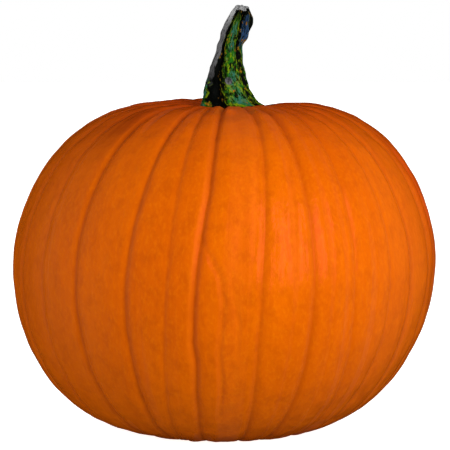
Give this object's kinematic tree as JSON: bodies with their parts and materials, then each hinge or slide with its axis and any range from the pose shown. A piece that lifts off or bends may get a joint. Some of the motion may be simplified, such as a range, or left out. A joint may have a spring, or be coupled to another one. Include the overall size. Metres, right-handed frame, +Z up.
{
  "type": "pumpkin",
  "caption": "Large ribbed orange carving pumpkin, whole and uncut, standing upright on its flattened base with a ridged, twisted, cut green stem.",
  "frame": {"origin": "on the ground, under the middle of the fruit's outline, level with the flat base that it rests on", "axes": "+Z up through the crown to the stem, -Y out of the front, +X to the right as seen from the front"},
  "size_m": [0.3004, 0.2902, 0.299],
  "materials": {
    "rind": "smooth waxy orange rind",
    "stem": "rough dried green stem with grey corky ridges"
  },
  "bodies": {
    "root": {"fruit": "rind", "stem": "stem"}
  },
  "joints": []
}
